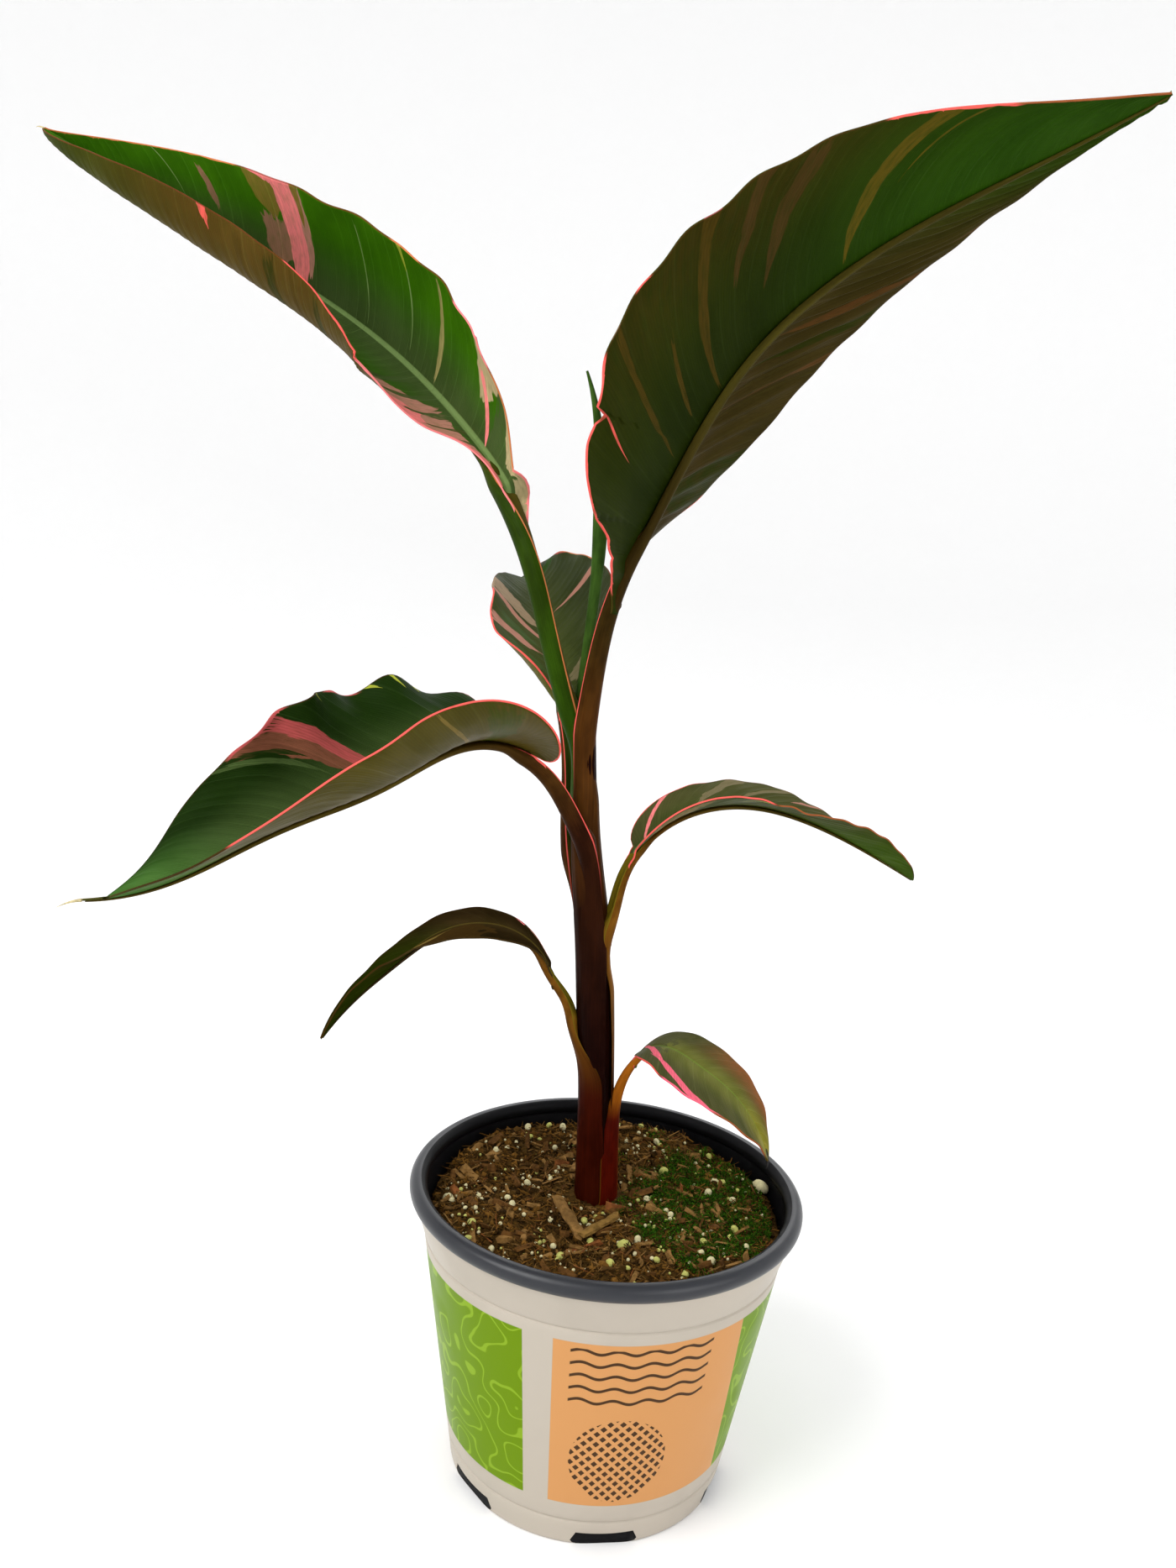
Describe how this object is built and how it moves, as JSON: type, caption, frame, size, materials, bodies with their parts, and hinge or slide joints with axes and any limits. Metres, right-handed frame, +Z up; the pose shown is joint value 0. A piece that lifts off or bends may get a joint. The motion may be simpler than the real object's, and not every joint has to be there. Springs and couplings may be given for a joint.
{
  "type": "potted banana plant",
  "caption": "Young banana plant with broad pink-edged leaves on a slim leaning pseudostem, rooted in a soil-filled plastic nursery pot.",
  "frame": {"origin": "centre of the pot's flat underside", "axes": "+Z up, +X to the right and -Y towards the viewer of the picture"},
  "size_m": [0.387, 0.2632, 0.506],
  "materials": {
    "pot": "smooth cream-white moulded plastic with a slate-grey rolled rim, black inside, and a plain printed wrap in green and peach",
    "soil": "moist brown peat and bark with white perlite grains and green moss",
    "pseudostem": "smooth dark maroon wrapped leaf bases with a soft sheen",
    "petiole": "smooth channelled stalks in green, olive and dark brown with pink edge lines",
    "blade": "satin green leaf with fine side veins, pink and cream streaks and pink margins, olive to brown beneath",
    "rolled_leaf": "smooth blue-green rolled leaf with a pale edge line"
  },
  "bodies": {
    "root": {"pot": "pot", "soil": "soil", "pseudostem": "pseudostem", "petiole_upper_right": "petiole", "blade_upper_right": "blade", "petiole_upper_left": "petiole", "blade_upper_left": "blade", "petiole_middle_left": "petiole", "blade_middle_left_inner": "blade", "blade_middle_left_outer": "blade", "petiole_rear": "petiole", "blade_rear_inner": "blade", "blade_rear_outer": "blade", "petiole_middle_right": "petiole", "blade_middle_right_inner": "blade", "blade_middle_right_outer": "blade", "petiole_lower_left": "petiole", "blade_lower_left_inner": "blade", "blade_lower_left_outer": "blade", "petiole_lower_right": "petiole", "blade_lower_right": "blade", "leaf_rolled": "rolled_leaf"}
  },
  "joints": []
}
